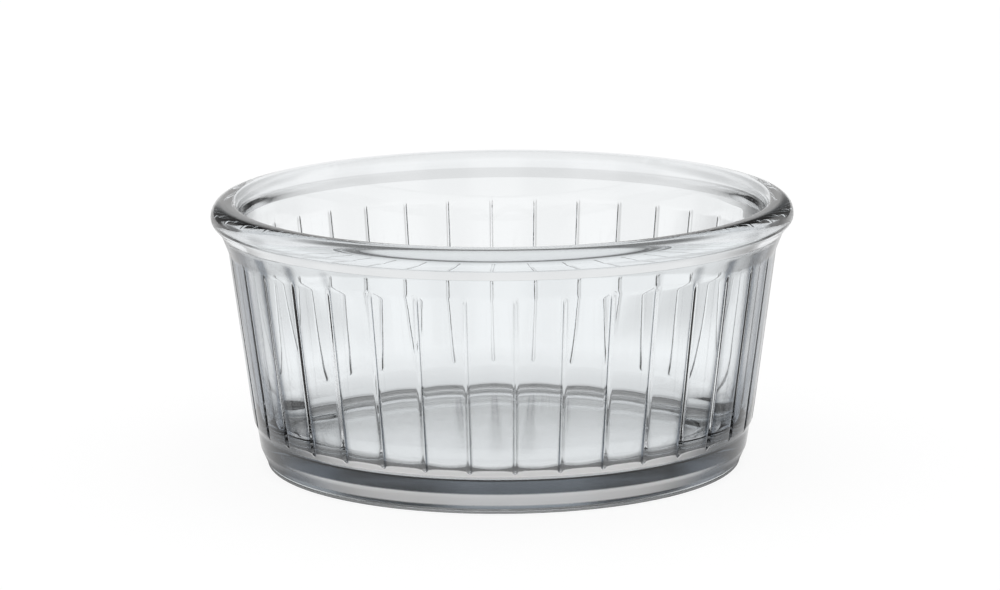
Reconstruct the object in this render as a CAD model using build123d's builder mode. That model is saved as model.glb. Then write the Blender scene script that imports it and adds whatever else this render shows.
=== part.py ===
from build123d import *
import math
import os

# A pressed-glass ramekin: one clear dish with 36 upright flutes, in millimetres.
# The origin is the centre of the circle that the foot stands on, with +Z up.
# The outside is built as the mould shapes it: the fluted wall, the plain heel and foot under it,
# the plain neck and lip over it. The smooth inside is then cut out, as the plunger presses it.

# Whole dish
lip_diameter = 100.0
height = 46.0
wall_draft = 7.6  # degrees that the wall leans outwards, inside and outside alike
overrun = 2.0  # how far a cut passes the glass, and how far joined bodies run into each other

# Lip: a rounded band that stands out all round the mouth
lip_inner_round = 1.0
lip_outer_round = 2.7
lip_under_round = 1.6
lip_side_height = 3.4  # from the top to where the sloping underside would meet the widest circle
lip_height = 5.2  # from the top to the ring line under the lip
lip_undercut = 1.6  # how far the ring line lies inside the widest circle

# Neck: the plain cone between the ring line and the flutes
neck_draft = 21.5  # degrees
neck_height = 6.4

# Flutes: nearly flat panels side by side, with a narrow V groove between each two
flute_count = 36
flute_overhang = 2.46  # from the lip's widest circle in to the panels' edges, at the ring line
panel_rise_top = 0.05  # how far a panel's middle stands out from a flat face
panel_rise_foot = 0.25
groove_depth = 0.32
groove_width_top = 0.7
groove_width_foot = 1.0
shoulder_step = 0.34  # from the panels' edges in to the heel
shoulder_draft = 25.0  # degrees, of the cone that ends the flutes

# Heel and foot: plain bands under the flutes
heel_height = 6.6
heel_band_height = 3.1  # where the band, steep as the wall, turns into the slope down to the foot
heel_band_lean = 0.54
heel_slope_draft = 25.0  # degrees
heel_round = 2.3
foot_height = 0.95
foot_ledge = 0.2
foot_round = 0.3
bearing_width = 4.2
recess_height = 1.0
recess_dome = 0.5  # how much higher the recess is in the middle
recess_round = 0.8

# Inside
floor_height = 5.0  # from the standing plane up to the floor
floor_round = 7.5
wall_thickness = 2.8  # from the inside out to the panels' edges, measured level

# Radii and heights that follow from the sizes above
lip_radius = lip_diameter / 2
ring_z = height - lip_height
wall_lean = math.tan(math.radians(wall_draft))
neck_lean = math.tan(math.radians(neck_draft))
shoulder_lean = math.tan(math.radians(shoulder_draft))
half_pitch = math.pi / flute_count


def panel_edge_radius(z):
    """Radius of the circle through the panels' edges at height z."""
    return lip_radius - flute_overhang - (ring_z - z) * wall_lean


def from_foot_to_top(z, at_foot, at_top):
    """A size that changes evenly from the heel to the ring line, at height z."""
    return at_foot + (at_top - at_foot) * (z - heel_height) / (ring_z - heel_height)


def on_circle(radius, angle):
    """Point at this radius and angle, in radians."""
    return radius * math.cos(angle), radius * math.sin(angle)


heel_radius = panel_edge_radius(heel_height) - shoulder_step
band_radius = heel_radius - heel_band_lean
slope_height = heel_band_height - foot_height
foot_radius = band_radius - slope_height * math.tan(math.radians(heel_slope_draft)) - foot_ledge
recess_radius = foot_radius - foot_round - bearing_width

with BuildPart() as glass_dish:
    # Fluted wall: the same outline low and high, joined by straight ruled surfaces
    for z in (heel_height - overrun, ring_z):
        edge_radius = panel_edge_radius(z)
        half_groove = from_foot_to_top(z, groove_width_foot, groove_width_top) / 2 / edge_radius
        rise = from_foot_to_top(z, panel_rise_foot, panel_rise_top)
        middle_radius = edge_radius * math.cos(half_pitch - half_groove) + rise
        with BuildSketch(Plane.XY.offset(z)):
            with BuildLine():
                for flute in range(flute_count):
                    groove = flute * 2 * half_pitch
                    next_groove = groove + 2 * half_pitch
                    Polyline(
                        on_circle(edge_radius, groove - half_groove),
                        on_circle(edge_radius - groove_depth, groove),
                        on_circle(edge_radius, groove + half_groove),
                    )
                    ThreePointArc(
                        on_circle(edge_radius, groove + half_groove),
                        on_circle(middle_radius, groove + half_pitch),
                        on_circle(edge_radius, next_groove - half_groove),
                    )
            make_face()
    loft(ruled=True)

    # Shoulder: a steep cone ends every flute over the heel
    with BuildSketch(Plane.XZ):
        with BuildLine():
            Polyline(
                (0, heel_height),
                (heel_radius, heel_height),
                (heel_radius + (height - heel_height) * shoulder_lean, height),
                (0, height),
                close=True,
            )
        make_face()
    revolve(axis=Axis.Z, mode=Mode.INTERSECT)

    # Heel, ledge and foot, hollowed under the base so that the dish stands on a ring
    with BuildSketch(Plane.XZ):
        with BuildLine():
            TangentArc(
                (0, recess_height + recess_dome), (recess_radius, recess_height), tangent=(1, 0)
            )
            FilletPolyline(
                (recess_radius, recess_height),
                (recess_radius + recess_height, 0),
                (foot_radius - foot_round, 0),
                radius=recess_round,
            )
            RadiusArc((foot_radius - foot_round, 0), (foot_radius, foot_round), -foot_round)
            Line((foot_radius, foot_round), (foot_radius, foot_height))
            Line((foot_radius, foot_height), (foot_radius + foot_ledge, foot_height))
            FilletPolyline(
                (foot_radius + foot_ledge, foot_height),
                (band_radius, heel_band_height),
                (heel_radius, heel_height),
                radius=heel_round,
            )
            Polyline(
                (heel_radius, heel_height), (0, heel_height), (0, recess_height + recess_dome)
            )
        make_face()
    revolve(axis=Axis.Z)

    # Neck and lip
    ring_radius = lip_radius - lip_undercut
    with BuildSketch(Plane.XZ):
        with BuildLine():
            FilletPolyline(
                (ring_radius, ring_z),
                (lip_radius, height - lip_side_height),
                (lip_radius, height),
                (0, height),
                radius=[lip_under_round, lip_outer_round],
            )
            Polyline(
                (0, height),
                (0, ring_z - neck_height),
                (ring_radius - neck_height * neck_lean, ring_z - neck_height),
                (ring_radius, ring_z),
            )
        make_face()
    revolve(axis=Axis.Z)

    # Inside: flat floor, large round to the wall, straight leaning wall, rounded inner edge
    mouth_radius = panel_edge_radius(height - lip_inner_round) - wall_thickness
    wall_rise = height - lip_inner_round - floor_height
    with BuildSketch(Plane.XZ):
        with BuildLine():
            FilletPolyline(
                (0, floor_height),
                (mouth_radius - wall_rise * wall_lean, floor_height),
                (mouth_radius, height - lip_inner_round),
                radius=floor_round,
            )
            RadiusArc(
                (mouth_radius, height - lip_inner_round),
                (mouth_radius + lip_inner_round, height),
                lip_inner_round,
            )
            Polyline(
                (mouth_radius + lip_inner_round, height),
                (mouth_radius + lip_inner_round, height + overrun),
                (0, height + overrun),
                (0, floor_height),
            )
        make_face()
    revolve(axis=Axis.Z, mode=Mode.SUBTRACT)

glass_dish.part.label = "glass_dish"

os.makedirs("parts", exist_ok=True)
export_step(glass_dish.part, "parts/glass_dish.step")
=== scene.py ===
# %% [markdown]
# # A ramekin of clear pressed glass
#
# The real object is one piece. A gob of molten glass drops into a mould, and a smooth plunger
# presses it out against the mould's wall. So the inside is smooth and the outside carries the
# form: a rounded lip, a plain neck, a ring of upright flutes, a plain heel and a low foot.
# This lesson makes that one piece, then its glass, and last a plain bright studio to see it in.
# Clear glass shows nothing of its own but what it bends, so all three matter alike.

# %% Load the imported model
import math

import bmesh
import bpy
from mathutils import Matrix, Vector


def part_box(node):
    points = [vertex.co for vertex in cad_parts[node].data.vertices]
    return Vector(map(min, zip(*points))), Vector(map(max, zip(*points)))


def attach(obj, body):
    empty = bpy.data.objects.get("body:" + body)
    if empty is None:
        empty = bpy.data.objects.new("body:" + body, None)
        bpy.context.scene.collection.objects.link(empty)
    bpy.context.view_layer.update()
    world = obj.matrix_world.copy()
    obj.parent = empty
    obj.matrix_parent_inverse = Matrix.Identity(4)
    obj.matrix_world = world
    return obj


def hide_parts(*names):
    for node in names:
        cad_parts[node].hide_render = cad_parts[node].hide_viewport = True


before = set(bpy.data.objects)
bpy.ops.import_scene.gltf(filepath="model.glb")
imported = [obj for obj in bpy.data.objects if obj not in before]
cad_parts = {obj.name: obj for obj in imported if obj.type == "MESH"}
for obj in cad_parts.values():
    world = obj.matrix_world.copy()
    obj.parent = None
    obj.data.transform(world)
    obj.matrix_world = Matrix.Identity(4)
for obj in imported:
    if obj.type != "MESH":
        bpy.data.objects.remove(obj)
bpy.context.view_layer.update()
low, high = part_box("glass_dish")
print("dish in the frame:", tuple(low), tuple(high))

# %% [markdown]
# ## Sizes
#
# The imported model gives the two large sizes, the height and the radius of the lip. The smaller
# ones are the mould maker's own, in millimetres from the top, from the standing plane, or from
# the lip inwards. They are turned into metres once, here.

# %% Sizes of the dish
MM = 0.001


def lean(degrees):
    """Metres outwards for each metre upwards."""
    return math.tan(math.radians(degrees))


lip_radius = high.x
height = high.z
wall_lean = lean(7.6)

lip_inner_round = 1.5 * MM
lip_outer_round = 2.7 * MM
lip_under_round = 1.6 * MM
lip_side_height = 3.4 * MM
lip_height = 5.2 * MM
lip_undercut = 1.6 * MM
ring_z = height - lip_height
ring_radius = lip_radius - lip_undercut
ring_round = 0.5 * MM
neck_lean = lean(21.5)
plain_neck = 1 * MM  # how far the section line draws the neck, before the rule of the flutes

flute_count = 36
flute_overhang = 2.46 * MM
edge_at_ring = lip_radius - flute_overhang
panel_rise_at_ring = 0.05 * MM
panel_rise_at_heel = 0.25 * MM
groove_depth = 0.32 * MM
groove_width_at_ring = 0.7 * MM
groove_width_at_heel = 1.0 * MM

heel_height = 6.6 * MM
shoulder_step = 0.34 * MM
shoulder_lean = lean(25)
heel_radius = edge_at_ring - (ring_z - heel_height) * wall_lean - shoulder_step
band_height = 3.1 * MM
band_step = 0.54 * MM
band_radius = heel_radius - band_step
slope_lean = lean(25)
heel_round = 2.3 * MM
foot_height = 0.95 * MM
foot_ledge = 0.2 * MM
foot_radius = band_radius - (band_height - foot_height) * slope_lean - foot_ledge
foot_round = 0.3 * MM
crease_round = 0.12 * MM
bearing_width = 4.2 * MM
recess_radius = foot_radius - foot_round - bearing_width
recess_height = 1 * MM
recess_round = 0.8 * MM
recess_dome = 0.5 * MM

floor_height = 5 * MM
floor_round = 7.5 * MM
wall_thickness = 2.8 * MM


def inside_radius(z):
    """Radius of the smooth inside wall at height z."""
    return edge_at_ring - (ring_z - z) * wall_lean - wall_thickness


print("inside radius at the mouth:", round(inside_radius(height), 5))
print("inside radius at the floor:", round(inside_radius(floor_height), 5))

# %% [markdown]
# ## The section
#
# A turned or pressed dish is best described by its section, the line that a saw cut down the
# middle would show. It could be drawn by hand as a curve. Here it is a list of corners, each
# with the radius that rounds it, because that is how the mould is drawn, and every size keeps
# its name. The line runs from the middle of the floor up the inside, over the lip, down the
# outside and under the base to the middle again. Points stand close together only where the
# surface turns.

# %% Rounded section line
def rounded_line(corners):
    """Points along a line of corners, each rounded by its own radius.

    A corner is (r, z, rounding radius, points on the round, points on the run before it).
    """
    points = [Vector(corners[0][:2])]
    for before, corner, after in zip(corners, corners[1:], corners[2:]):
        here = Vector(corner[:2])
        radius, on_round, on_run = corner[2:]
        if radius == 0:
            add_run(points, here, on_run)
            continue
        back = (Vector(before[:2]) - here).normalized()
        on = (Vector(after[:2]) - here).normalized()
        half = back.angle(on) / 2
        reach = radius / math.tan(half)
        centre = here + (back + on).normalized() * radius / math.sin(half)
        start = here + back * reach
        add_run(points, start, on_run)
        first = start - centre
        sweep = first.angle_signed(here + on * reach - centre)
        for step in range(1, on_round + 1):
            turn = Matrix.Rotation(-sweep * step / on_round, 2)
            points.append(centre + turn @ first)
    *end, _, _, on_run = corners[-1]
    add_run(points, Vector(end), on_run)
    return points


def add_run(points, end, count):
    """Straight run of evenly spaced points from the last point to the end."""
    start = points[-1].copy()
    for step in range(1, count + 1):
        points.append(start.lerp(end, step / count))


inside_and_lip = rounded_line([
    (0, floor_height, 0, 0, 0),
    (inside_radius(floor_height), floor_height, floor_round, 14, 10),
    (inside_radius(height), height, lip_inner_round, 8, 12),
    (lip_radius, height, lip_outer_round, 12, 1),
    (lip_radius, height - lip_side_height, lip_under_round, 6, 1),
    (ring_radius, ring_z, ring_round, 4, 2),
    (ring_radius - plain_neck * neck_lean, ring_z - plain_neck, 0, 0, 1),
])
under_the_flutes = rounded_line([
    (heel_radius, heel_height, 0, 0, 0),
    (band_radius, band_height, heel_round, 6, 5),
    (foot_radius + foot_ledge, foot_height, crease_round, 3, 5),
    (foot_radius, foot_height, crease_round, 3, 1),
    (foot_radius, 0, foot_round, 6, 1),
    (recess_radius + recess_height, 0, recess_round, 3, 4),
    (recess_radius, recess_height, 0, 0, 1),
])
dome_steps = 12
for step in range(1, dome_steps + 1):
    share = 1 - step / dome_steps
    dome_z = recess_height + recess_dome * (1 - share**2)
    under_the_flutes.append(Vector((recess_radius * share, dome_z)))
print("points before and after the flutes:", len(inside_and_lip), len(under_the_flutes))

# %% [markdown]
# ## Node maths as Python
#
# Node trees for shapes and for shaders both do sums. Written out node by node a sum of four
# terms takes a dozen lines. One small class holds a socket and turns Python's own operators
# into Math nodes. Any other node comes from its one method, which takes the node's type, its
# settings and what feeds its inputs.

# %% One class for sockets
class Wire:
    """A socket of a node tree, so that node maths reads as a Python expression."""

    def __init__(self, tree, socket=None):
        self.tree = tree
        self.socket = socket

    def node(self, kind, settings=None, inputs=None, output=0):
        """Adds a node. Settings are set first, then each input gets its value or its link.

        The setting "stops" is for a colour ramp, as (position, grey) pairs.
        """
        made = self.tree.nodes.new(kind)
        for name, value in (settings or {}).items():
            if name == "stops":
                set_stops(made.color_ramp, value)
            else:
                setattr(made, name, value)
        for key, value in (inputs or {}).items():
            if isinstance(value, Wire):
                self.tree.links.new(value.socket, made.inputs[key])
            else:
                made.inputs[key].default_value = value
        return Wire(self.tree, made.outputs[output])

    def math(self, operation, *values):
        """Adds a Math node with this socket as its first input."""
        inputs = dict(enumerate((self, *values)))
        return self.node("ShaderNodeMath", {"operation": operation}, inputs)

    def __add__(self, other):
        return self.math("ADD", other)

    def __sub__(self, other):
        return self.math("SUBTRACT", other)

    def __rsub__(self, other):
        return self.node("ShaderNodeMath", {"operation": "SUBTRACT"}, {0: other, 1: self})

    def __mul__(self, other):
        return self.math("MULTIPLY", other)

    def __truediv__(self, other):
        return self.math("DIVIDE", other)

    def __rtruediv__(self, other):
        return self.node("ShaderNodeMath", {"operation": "DIVIDE"}, {0: other, 1: self})

    __radd__ = __add__


def split(vector):
    """The x, y and z of a vector, one wire each."""
    separate = vector.node("ShaderNodeSeparateXYZ", inputs={0: vector}).socket.node
    return [Wire(vector.tree, socket) for socket in separate.outputs]


def ramp(value, at_nothing, at_full):
    """A soft mask of a value: 0 at the first limit, 1 at the second."""
    limits = {0: value, 1: at_nothing, 2: at_full}
    return value.node("ShaderNodeMapRange", {"interpolation_type": "SMOOTHSTEP"}, limits)


def set_stops(colour_ramp, stops):
    """Sets a colour ramp's stops from (position, grey) pairs."""
    while len(colour_ramp.elements) < len(stops):
        colour_ramp.elements.new(0.5)
    for element, (position, grey) in zip(colour_ramp.elements, stops):
        element.position = position
        element.color = (grey, grey, grey, 1)


# %% [markdown]
# ## The fluted dish
#
# Turned round the axis, the section gives the dish, and on the outside wall a rule decides the
# radius. Three forms meet there: the neck's cone, the ring of flutes, and the shoulder that ends
# every flute over the heel. A flute is a nearly flat panel with a narrow V groove at each side.
# The dish takes the larger of neck and panel, and then the smaller of that and the shoulder.
# Both choices are softened a little, as molten glass softens every edge.
# 36 flutes carved by hand would never be so even, so Geometry Nodes put every point of a grid
# in its place by the rule: one side of the grid goes round the dish, the other along the section.

# %% Section as a mesh with a mark on the fluted wall
def heights_between(start, end, count):
    """Evenly spaced heights after the start, up to and with the end."""
    return [start + (end - start) * step / count for step in range(1, count + 1)]


# Close rows where the neck turns into panels and where the shoulder ends them, wide rows between
rows_at_neck, rows_on_panels, rows_at_shoulder = 22, 12, 12
rule_top = ring_z - plain_neck
panel_top = ring_z - 5.4 * MM
shoulder_start = heel_height + 1.2 * MM
wall_heights = heights_between(rule_top, panel_top, rows_at_neck)
wall_heights += heights_between(panel_top, shoulder_start, rows_on_panels)
wall_heights += heights_between(shoulder_start, heel_height, rows_at_shoulder)[:-1]

section = [(point.x, point.y, 0) for point in inside_and_lip]
section += [(heel_radius, z, 1) for z in wall_heights]
section += [(point.x, point.y, 0) for point in under_the_flutes]

section_mesh = bpy.data.meshes.new("dish_section")
section_mesh.from_pydata(
    [(r, 0, z) for r, z, _ in section], [(i, i + 1) for i in range(len(section) - 1)], []
)
mark = section_mesh.attributes.new("fluted", "FLOAT", "POINT")
mark.data.foreach_set("value", [fluted for _, _, fluted in section])
dish = bpy.data.objects.new("pressed_dish", section_mesh)
bpy.context.scene.collection.objects.link(dish)
print("points along the section:", len(section))


# %% Geometry nodes that turn the section into the dish
same_point = MM / 500  # points nearer than this are joined into one
column_crowding = 1.5  # a panel's columns stand closer together towards its grooves
flute_sizes = {
    "Flutes": ("NodeSocketInt", flute_count),
    "Steps in a flute": ("NodeSocketInt", 16),
    "Groove share of the steps": ("NodeSocketFloat", 3 / 8),
    "Ring height": ("NodeSocketFloat", ring_z),
    "Ring radius": ("NodeSocketFloat", ring_radius),
    "Neck lean": ("NodeSocketFloat", neck_lean),
    "Edge at ring": ("NodeSocketFloat", edge_at_ring),
    "Wall lean": ("NodeSocketFloat", wall_lean),
    "Rise at ring": ("NodeSocketFloat", panel_rise_at_ring),
    "Rise at heel": ("NodeSocketFloat", panel_rise_at_heel),
    "Groove depth": ("NodeSocketFloat", groove_depth),
    "Groove fade": ("NodeSocketFloat", 1.0 * MM),
    "Groove width at ring": ("NodeSocketFloat", groove_width_at_ring),
    "Groove width at heel": ("NodeSocketFloat", groove_width_at_heel),
    "Heel height": ("NodeSocketFloat", heel_height),
    "Heel radius": ("NodeSocketFloat", heel_radius),
    "Shoulder lean": ("NodeSocketFloat", shoulder_lean),
    "Edge softness": ("NodeSocketFloat", 0.15 * MM),
}


def between(first, last, share):
    """The size at this share of the way from the first to the last."""
    return first + (last - first) * share


def fluted_dish_tree():
    """Geometry tree: section line in, whole fluted dish out."""
    tree = bpy.data.node_groups.new("fluted_dish", "GeometryNodeTree")
    tree.interface.new_socket("Section", in_out="INPUT", socket_type="NodeSocketGeometry")
    for name, (kind, _) in flute_sizes.items():
        tree.interface.new_socket(name, in_out="INPUT", socket_type=kind)
    tree.interface.new_socket("Glass", in_out="INPUT", socket_type="NodeSocketMaterial")
    tree.interface.new_socket("Dish", in_out="OUTPUT", socket_type="NodeSocketGeometry")
    given = tree.nodes.new("NodeGroupInput")
    value = {socket.name: Wire(tree, socket) for socket in given.outputs}
    start = Wire(tree)

    # Grid: its index gives the column round the dish and the row along the section
    of_section = {0: value["Section"]}
    size = start.node("GeometryNodeAttributeDomainSize", {"component": "MESH"}, of_section)
    steps = value["Steps in a flute"]
    columns = value["Flutes"] * steps
    sides = {"Vertices X": columns + 1, "Vertices Y": size}
    grid = start.node("GeometryNodeMeshGrid", inputs=sides)
    index = start.node("GeometryNodeInputIndex")
    row = index.math("FLOORED_MODULO", size)
    column = (index / size).math("FLOOR")

    # Section: its place and its mark, read at this row
    on_line = {"Geometry": value["Section"], "Index": row}
    place = start.node("GeometryNodeInputPosition")
    mark = start.node("GeometryNodeInputNamedAttribute", {"data_type": "FLOAT"}, {"Name": "fluted"})
    read_place, read_mark = {**on_line, "Value": place}, {**on_line, "Value": mark}
    place = start.node("GeometryNodeSampleIndex", {"data_type": "FLOAT_VECTOR"}, read_place)
    fluted = start.node("GeometryNodeSampleIndex", {"data_type": "FLOAT"}, read_mark)
    section_radius, _, z = split(place)

    # Wall without grooves: how far down it is, and the circle through the panels' edges
    down = value["Ring height"] - z
    down_share = down / (value["Ring height"] - value["Heel height"])
    edge_radius = value["Edge at ring"] - down * value["Wall lean"]
    half_pitch = math.pi / value["Flutes"]

    # Columns: from a groove, the first steps cross half of it, the others reach mid panel
    side = column.math("FLOORED_MODULO", steps) / steps * 2 - 1
    step_share = 1 - side.math("ABSOLUTE")
    groove_steps = value["Groove share of the steps"]
    in_groove = (step_share / groove_steps).math("MINIMUM", 1)
    past_groove = (step_share - groove_steps) / (1 - groove_steps)
    on_panel = past_groove.math("MAXIMUM", 0).math("POWER", column_crowding)
    groove_width = between(value["Groove width at ring"], value["Groove width at heel"], down_share)
    half_groove = groove_width / 2 / edge_radius / half_pitch
    from_groove = in_groove * half_groove + on_panel * (1 - half_groove)
    flute = (column / steps).math("FLOOR")
    angle = (flute * 2 + 1 + side.math("SIGN") * (1 - from_groove)) * half_pitch

    # Panel: nearly flat, with a V groove cut in at each side
    rise = between(value["Rise at ring"], value["Rise at heel"], down_share)
    panel_angle = half_pitch * (1 - half_groove)
    to_edge = (1 - from_groove) / (1 - half_groove)
    bulge = (1 - to_edge * to_edge).math("MAXIMUM", 0)
    panel = edge_radius + (rise - edge_radius * (1 - panel_angle.math("COSINE"))) * bulge
    over_heel = ramp(z, value["Heel height"], value["Heel height"] + value["Groove fade"])
    grooved = panel - value["Groove depth"] * (1 - in_groove) * over_heel

    # Wall: the grooved panels or the neck, whichever is larger, but no larger than the shoulder
    soft = value["Edge softness"]
    neck = value["Ring radius"] - down * value["Neck lean"]
    shoulder = value["Heel radius"] + (z - value["Heel height"]) * value["Shoulder lean"]
    wall = grooved.math("SMOOTH_MAX", neck, soft).math("SMOOTH_MIN", shoulder, soft)
    radius = section_radius + (wall - section_radius) * fluted

    # Dish: every point put in its place, the seam and the two poles closed
    parts = {0: radius * angle.math("COSINE"), 1: radius * angle.math("SINE"), 2: z}
    point = start.node("ShaderNodeCombineXYZ", inputs=parts)
    placed = {"Geometry": grid, "Position": point}
    shape = grid.node("GeometryNodeSetPosition", inputs=placed)
    joined = {"Geometry": shape, "Distance": same_point}
    shape = shape.node("GeometryNodeMergeByDistance", inputs=joined)
    smooth = {"Geometry": shape, "Shade Smooth": True}
    shape = shape.node("GeometryNodeSetShadeSmooth", inputs=smooth)
    glazed = {"Geometry": shape, "Material": value["Glass"]}
    shape = shape.node("GeometryNodeSetMaterial", inputs=glazed)
    result = tree.nodes.new("NodeGroupOutput")
    tree.links.new(shape.socket, result.inputs["Dish"])
    print("nodes in the dish's tree:", len(tree.nodes))
    return tree


# %% [markdown]
# ## Clear glass
#
# The real glass is nearly colourless. A thick place looks blue grey, because light goes a long
# way through it, so the main tint belongs in the volume. The surface came off polished metal: it
# is smooth, with slow waves where the glass shrank as it cooled. The foot looks mottled, so the
# ring that the dish stands on gets a stipple, and the floor and the recess are a little less clear.
# On the real dish the edges and the heel look dark, and the slope of the heel and the flutes'
# ends look pale. Refraction alone does that there. Plain glass comes out too even here, so a
# grey tint of painted shade and a little frost of painted light stand in for it. Both could be
# left out under other lights.
# Each zone is a soft mask from the place on the dish, worked out from the same sizes that made
# its shape, so mask and shape can't drift apart.

# %% Zones of the glass
under_base = recess_height + recess_dome
flat_floor = inside_radius(floor_height) - floor_round
groove_line_sharpness = 3
# Where a zone begins and ends in height, and over how much it fades
zone_heights = {
    "slope": (foot_height + 0.4 * MM, band_height + 0.7 * MM, 0.35 * MM),
    "heel": (band_height + 0.3 * MM, heel_height, 0.45 * MM),
    "wall": (foot_height, ring_z, MM),
    "floor": (floor_height - MM, floor_height + 0.6 * MM, 0.4 * MM),
}
# Where a mask is nothing and where it is full, by height, radius or distance from a surface
zone_limits = {
    "outside the foot": (foot_radius - 2 * MM, foot_radius - MM),
    "outside the recess": (recess_radius, recess_radius + MM),
    "inside the recess": (recess_radius + MM, recess_radius),
    "inside the flat floor": (flat_floor + 1.5 * MM, flat_floor),
    "on the table": (0.2 * MM, 0),
    "under the base": (under_base + 0.4 * MM, under_base + 0.1 * MM),
    "over the heel": (heel_height - 0.5 * MM, heel_height + 0.5 * MM),
    "at once over the heel": (heel_height - 0.1 * MM, heel_height + 0.1 * MM),
    "on the shoulder": (0.06 * MM, 0.01 * MM),
    "off the inside wall": (1.2 * MM, 1.8 * MM),
}
print("radius of the flat floor, about:", round(flat_floor, 5))


def band(value, bottom, top, fade):
    """A soft mask that is 1 between two limits."""
    return ramp(value, bottom, bottom + fade) * ramp(value, top, top - fade)


def glass_zones(x, y, z):
    """Masks for the zones of the dish that differ from plain glass."""
    radius = (x * x + y * y).math("SQRT")
    from_inside_wall = radius - z * wall_lean - inside_radius(0)
    from_cone = heel_radius + (z - heel_height) * shoulder_lean - radius
    grooves = (y.math("ARCTAN2", x) * flute_count).math("COSINE") * 0.5 + 0.5

    def limited(value, name):
        """The mask of a value between the limits of this name."""
        return ramp(value, *zone_limits[name])

    def height_band(name):
        """The mask of the heights of this name."""
        return band(z, *zone_heights[name])

    outside = limited(radius, "outside the foot")
    return {
        "ring": limited(z, "on the table") * limited(radius, "outside the recess"),
        "recess": limited(z, "under the base") * limited(radius, "inside the recess"),
        "floor": height_band("floor") * limited(radius, "inside the flat floor"),
        "slope": height_band("slope") * outside,
        "heel": height_band("heel") * outside,
        "shoulder": limited(from_cone, "on the shoulder") * limited(z, "at once over the heel"),
        "wall": height_band("wall") * limited(from_inside_wall, "off the inside wall"),
        "grooves": grooves.math("POWER", groove_line_sharpness) * limited(z, "over the heel"),
    }


# %% Looks of the glass
# Clear glass: how it bends light, what it swallows, its clear tint, its grey of painted shade and
# its frost of painted light
refraction = 1.5
absorption_colour = (0.0, 0.08, 0.16, 1)
absorption_density = 16.0
clear = (0.98, 0.994, 1.0, 1)
# The grey tint is painted shade, for the wall seen edge on, the grooves, low down and the heel
grey = (0.065, 0.079, 0.099, 1)
painted_light_colour = (0.9, 0.9, 0.9, 1)

# Relief: waves and stipple, each with the scale of its noise and its weight
wave_scale, wave_weight = 90, 0.05
stipple_scale, stipple_weight = 1800, 0.1
relief_height = 0.4 * MM

# Painted shade in grey: from where to where the turn to edge on (0 facing us, 1 edge on) brings it,
# how much sooner it comes in a groove and low down, and how much the heel gets
edge_on_limits = (0.45, 0.8)
sooner_in_a_groove = 0.25
sooner_low_down = 0.2
low_down_limits = (24 * MM, 8 * MM)
heel_painted_shade = 0.85

# Painted light as frost, and roughness: how much of each, and the turn to facing that brings
# the frost
slope_painted_light = 0.72
shoulder_painted_highlight = 0.9
painted_light_limits = (0.7, 0.3)
ring_roughness = 0.3
floor_roughness = 0.12
print("clear and grey tint:", clear[:3], grey[:3])


# %% Glass material
def pressed_glass():
    """Clear glass with a faint tint, slow waves, and paler and darker zones of painted light and
    shade.
    """
    material = bpy.data.materials.new("pressed_glass")
    material.use_nodes = True
    tree = material.node_tree
    tree.nodes.clear()
    start = Wire(tree)
    place = start.node("ShaderNodeTexCoord", output="Object")
    x, y, z = split(place)
    zone = glass_zones(x, y, z)
    facing = start.node("ShaderNodeLayerWeight", inputs={"Blend": 0.5}, output="Facing")
    outer_side = 1 - start.node("ShaderNodeNewGeometry", output="Backfacing")

    # Relief: slow waves all over, and a stipple on the standing ring
    slow = {"Vector": place, "Scale": wave_scale, "Detail": 1.0, "Roughness": 0.4}
    waves = start.node("ShaderNodeTexNoise", inputs=slow)
    fine = {"Vector": place, "Scale": stipple_scale, "Detail": 1.0}
    stipple = start.node("ShaderNodeTexNoise", inputs=fine)
    relief = waves * wave_weight + stipple * (zone["ring"] * stipple_weight)
    bump = start.node("ShaderNodeBump", inputs={"Distance": relief_height, "Height": relief})

    # Painted shade: grey where the wall is seen edge on, sooner in a groove and low down, and on
    # the heel
    low_down = ramp(z, *low_down_limits)
    sooner = facing + zone["grooves"] * sooner_in_a_groove + low_down * sooner_low_down
    edge_on_painted_shade = ramp(sooner, *edge_on_limits) * zone["wall"]
    painted_shade = (edge_on_painted_shade + zone["heel"] * outer_side * heel_painted_shade).math("MINIMUM", 1)
    # A Mix node for colours has its factor at input 0, its colours at 6 and 7, its result at 2
    mixed = {0: painted_shade, 6: clear, 7: grey}
    tint = start.node("ShaderNodeMix", {"data_type": "RGBA"}, mixed, output=2)

    # Frost as painted light: the pale slope of the heel and a painted highlight along the flutes'
    # ends, on the outer side of the glass
    pale = zone["slope"] * slope_painted_light + zone["shoulder"] * shoulder_painted_highlight
    painted_light_share = pale.math("MINIMUM", 1) * outer_side * ramp(facing, *painted_light_limits)

    # Surface and volume: smooth clear glass, mixed with the frost of painted light, around a faint
    # absorption
    roughness = zone["ring"] * ring_roughness + (zone["recess"] + zone["floor"]) * floor_roughness
    smooth = {
        "Base Color": tint,
        "Roughness": roughness,
        "IOR": refraction,
        "Transmission Weight": 1.0,
        "Normal": bump,
    }
    surface = start.node("ShaderNodeBsdfPrincipled", inputs=smooth)
    painted_light_layer = start.node("ShaderNodeBsdfDiffuse", inputs={"Color": painted_light_colour})
    surface = start.node("ShaderNodeMixShader", inputs={0: painted_light_share, 1: surface, 2: painted_light_layer})
    absorption = {"Color": absorption_colour, "Density": absorption_density}
    volume = start.node("ShaderNodeVolumeAbsorption", inputs=absorption)
    output = tree.nodes.new("ShaderNodeOutputMaterial")
    tree.links.new(surface.socket, output.inputs["Surface"])
    tree.links.new(volume.socket, output.inputs["Volume"])
    print("nodes in the glass:", len(tree.nodes))
    return material


glass = pressed_glass()

# %% [markdown]
# ## From the tree to a plain mesh
#
# The tree runs once as a modifier. Its result is kept as a plain mesh, because the frame hides
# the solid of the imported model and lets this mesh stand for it. Glass needs a closed skin with
# its faces outwards, or light would enter and never leave, so that is made sure of and measured.

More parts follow.
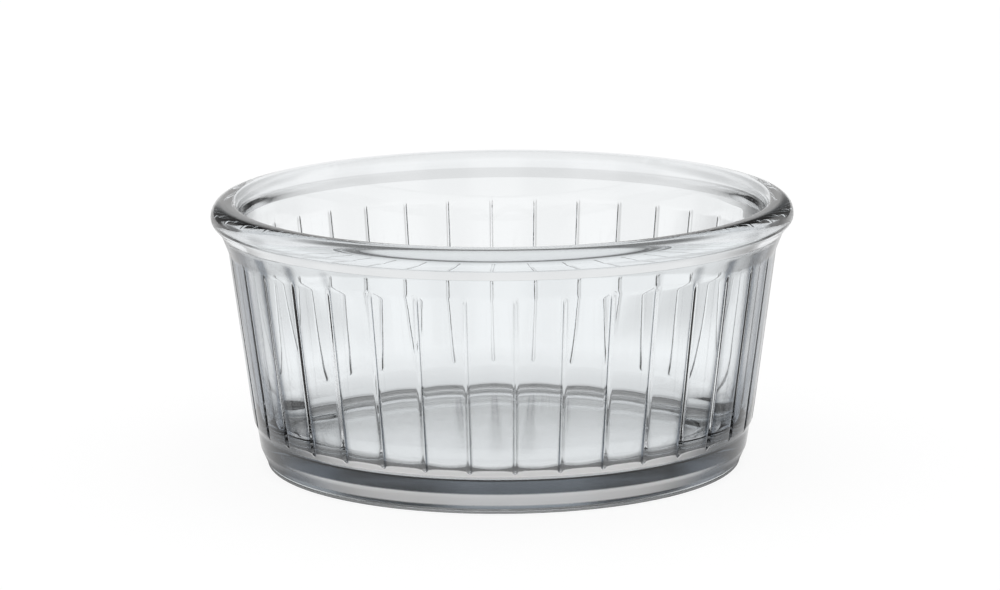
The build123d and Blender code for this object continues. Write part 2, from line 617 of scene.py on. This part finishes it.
# %% Run the tree and keep its mesh
ML_IN_A_CUBIC_METRE = 1e6
tree = fluted_dish_tree()
modifier = dish.modifiers.new("fluted_dish", "NODES")
modifier.node_group = tree
for item in tree.interface.items_tree:
    if item.name in flute_sizes:
        modifier[item.identifier] = flute_sizes[item.name][1]
    if item.name == "Glass":
        modifier[item.identifier] = glass
evaluated = dish.evaluated_get(bpy.context.evaluated_depsgraph_get())
mesh = bpy.data.meshes.new_from_object(evaluated)
mesh.materials.clear()
mesh.materials.append(glass)
mesh.polygons.foreach_set("material_index", [0] * len(mesh.polygons))
dish.modifiers.clear()
dish.data = mesh

solid = bmesh.new()
solid.from_mesh(mesh)
bmesh.ops.recalc_face_normals(solid, faces=solid.faces)
open_edges = [edge for edge in solid.edges if not edge.is_manifold]
volume_ml = solid.calc_volume(signed=True) * ML_IN_A_CUBIC_METRE
print("volume in ml:", round(volume_ml, 2), "open edges:", len(open_edges))
solid.to_mesh(mesh)
solid.free()
print("triangles:", sum(len(face.vertices) - 2 for face in mesh.polygons))
low_corner, high_corner = dish.bound_box[0], dish.bound_box[6]
print("corners of the dish:", [round(c, 5) for c in (*low_corner, *high_corner)])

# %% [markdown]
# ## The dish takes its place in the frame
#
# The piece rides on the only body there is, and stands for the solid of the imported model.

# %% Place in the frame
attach(dish, "root")
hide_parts("glass_dish")
print("in the frame:", dish.name)

# %% [markdown]
# ## Floor
#
# The dish stands on plain white. To the camera the open floor is white, with the dish's faint
# shadow on it. Lit glass on white would vanish, so a photographer sets it on a bright place and
# keeps the light low outside its outline: the glass bends those darker places into its edges.
# The floor does the same here with painted shade, and only for rays that come through glass or
# off it. It is white under the dish, painted dark in a ring under the foot, and painted dark in
# front of the dish where a card would lie, which draws the line along the lip. It could be done
# with cards as objects, but these would stand in the picture in other views. A painted shade on
# the floor shows only through the glass.

# %% Floor
WHITE = (1, 1, 1, 1)
floor_reach = 0.25
# Painted shade by distance from the dish: white under it, and a painted dark ring under the foot
floor_shades = [
    (0, 1), (0.024, 1), (0.031, 0.95), (0.034, 0.55), (0.037, 0.4),
    (0.039, 0.15), (0.041, 0.2), (0.043, 0.85), (0.06, 0.95), (0.08, 1),
]
floor_grey = (0.8, 0.8, 0.8, 1)
# The camera sees this white, with a share of the matt floor and its shadow mixed in
floor_white = 1.08
matt_share = 0.2
# Painted shade where a card would lie in front: limits of y over distance, then of the distance
# at its near and far edge
painted_card_shade_ahead = (0.3, -0.4)
painted_card_shade_near = (0.055, 0.06)
painted_card_shade_far = (0.085, 0.07)
painted_card_shade_depth = 0.8
# Painted shade in the gaps between the light panels, as the floor carries them on
gap_reach = (0.085, 0.13)
gap_limits = (0.45, 0)
gap_depth = 0.25
panel_count = 8


def light_paths(tree):
    """Masks of the rays from the camera, from matt surfaces, and through or off glass."""
    rays = tree.nodes.new("ShaderNodeLightPath")
    kinds = ("Is Camera Ray", "Is Diffuse Ray", "Is Glossy Ray", "Is Transmission Ray")
    camera, diffuse, glossy, through = (Wire(tree, rays.outputs[kind]) for kind in kinds)
    return camera, diffuse, (glossy + through).math("MINIMUM", 1)


def light_panels(x, y):
    """Soft light panels all round at even angles, 1 in the middle of a panel and 0 between."""
    return (x.math("ARCTAN2", y) * panel_count).math("COSINE") * 0.5 + 0.5


def pale_floor():
    """White floor, with painted shades that only glass shows."""
    material = bpy.data.materials.new("pale_floor")
    material.use_nodes = True
    tree = material.node_tree
    tree.nodes.clear()
    start = Wire(tree)
    from_camera, _, from_glass = light_paths(tree)
    place = start.node("ShaderNodeTexCoord", output="Object")
    x, y, _ = split(place)
    length = {"operation": "LENGTH"}
    distance = place.node("ShaderNodeVectorMath", length, {0: place}, output="Value")

    # Painted shade: rings about the dish, a dark patch in front where a card would lie, and weak
    # gaps between the panels
    stops = {"stops": [(metres / floor_reach, grey) for metres, grey in floor_shades]}
    painted_rings = start.node("ShaderNodeValToRGB", stops, {0: distance / floor_reach})
    painted_card_shade = ramp(y / distance, *painted_card_shade_ahead) * ramp(distance, *painted_card_shade_near) * ramp(distance, *painted_card_shade_far)
    painted_gap_shade = ramp(distance, *gap_reach) * ramp(light_panels(x, y), *gap_limits)
    shade = painted_rings * (1 - painted_card_shade * painted_card_shade_depth) * (1 - painted_gap_shade * gap_depth)

    matt = start.node("ShaderNodeBsdfDiffuse", inputs={"Color": floor_grey})
    white = start.node("ShaderNodeEmission", inputs={"Color": WHITE, "Strength": floor_white})
    seen = start.node("ShaderNodeMixShader", inputs={0: matt_share, 1: white, 2: matt})
    glow = start.node("ShaderNodeEmission", inputs={"Color": shade, "Strength": 1.0})
    surface = start.node("ShaderNodeMixShader", inputs={0: from_glass, 1: matt, 2: glow})
    surface = start.node("ShaderNodeMixShader", inputs={0: from_camera, 1: surface, 2: seen})
    output = tree.nodes.new("ShaderNodeOutputMaterial")
    tree.links.new(surface.socket, output.inputs["Surface"])
    return material


half_floor = 2.0
corners = [(-half_floor, -half_floor), (half_floor, -half_floor)]
corners += [(-x, -y) for x, y in corners]
floor_mesh = bpy.data.meshes.new("floor")
floor_mesh.from_pydata([(x, y, 0) for x, y in corners], [], [(0, 1, 2, 3)])
floor_mesh.materials.append(pale_floor())
floor = bpy.data.objects.new("floor", floor_mesh)
bpy.context.scene.collection.objects.link(floor)
print("floor, metres across:", 2 * half_floor)

# %% [markdown]
# ## World
#
# The light is a white surround of strength 1, with no lamps. Matt surfaces and the camera see it
# plain. Glass sees soft panels with dimmer gaps between them, and less light overhead, as in a
# studio with a ring of soft boxes. The gaps give the walls and the lip their dark lines. Eight
# panels stand at even angles, so that the dish looks alike from every side.

# %% World
overhead_shades = [
    (0, 1), (0.06, 0.9), (0.1, 0.85), (0.33, 0.9), (0.5, 0.5), (0.65, 0.2), (0.9, 0.2), (1, 0.4),
]
gap_light = 0.2
panel_limits = (0.15, 0.8)


def studio_world():
    """White surround, with the panels that glass shows."""
    world = bpy.data.worlds.new("studio")
    world.use_nodes = True
    tree = world.node_tree
    tree.nodes.clear()
    start = Wire(tree)
    from_camera, from_matt, _ = light_paths(tree)
    x, y, up = split(start.node("ShaderNodeTexCoord", output="Generated"))
    panel_light = gap_light + ramp(light_panels(x, y), *panel_limits) * (1 - gap_light)
    up_light = start.node("ShaderNodeValToRGB", {"stops": overhead_shades}, {0: up})
    panels = start.node("ShaderNodeBackground", inputs={"Color": up_light, "Strength": panel_light})
    white = start.node("ShaderNodeBackground", inputs={"Color": WHITE, "Strength": 1.0})
    plain = (from_camera + from_matt).math("MINIMUM", 1)
    surface = start.node("ShaderNodeMixShader", inputs={0: plain, 1: panels, 2: white})
    output = tree.nodes.new("ShaderNodeOutputWorld")
    tree.links.new(surface.socket, output.inputs["Surface"])
    return world


scene = bpy.context.scene
scene.world = studio_world()
scene.view_settings.view_transform = "Standard"
bounces_through_glass = 24
scene.cycles.max_bounces = bounces_through_glass
scene.cycles.transmission_bounces = bounces_through_glass
print("bounces through glass:", bounces_through_glass)

# %% [markdown]
# ## Camera
#
# The photograph looks down on the mouth at a low angle from far off: the ellipse of the lip gives
# the angle, and the lip's front and back give the distance. The camera could be dragged about by
# hand until it fits. Here it is turned about a point of the dish, its aim, so that each measured
# angle is one number.

# %% Camera
camera_distance = 0.8
camera_height_angle = math.radians(11.44)
camera_turn = math.radians(-2.45)
camera_roll = math.radians(-0.42)
image_width_px = 1000
focal_px = 4640
aim_z = height - 17.35 * MM
aim_right = -0.455 * MM

camera_data = bpy.data.cameras.new("camera")
camera_data.lens = camera_data.sensor_width * focal_px / image_width_px
camera = bpy.data.objects.new("camera", camera_data)
scene.collection.objects.link(camera)
turn = Matrix.Rotation(camera_turn, 4, "Z")
tilt = Matrix.Rotation(math.pi / 2 - camera_height_angle, 4, "X")
roll = Matrix.Rotation(camera_roll, 4, "Z")
back = Matrix.Translation((0, 0, camera_distance))
aim = Matrix.Translation(turn @ Vector((aim_right, 0, aim_z)))
camera.matrix_world = aim @ turn @ tilt @ back @ roll
scene.camera = camera
print("lens in mm:", camera_data.lens, "camera at:", camera.matrix_world.translation)
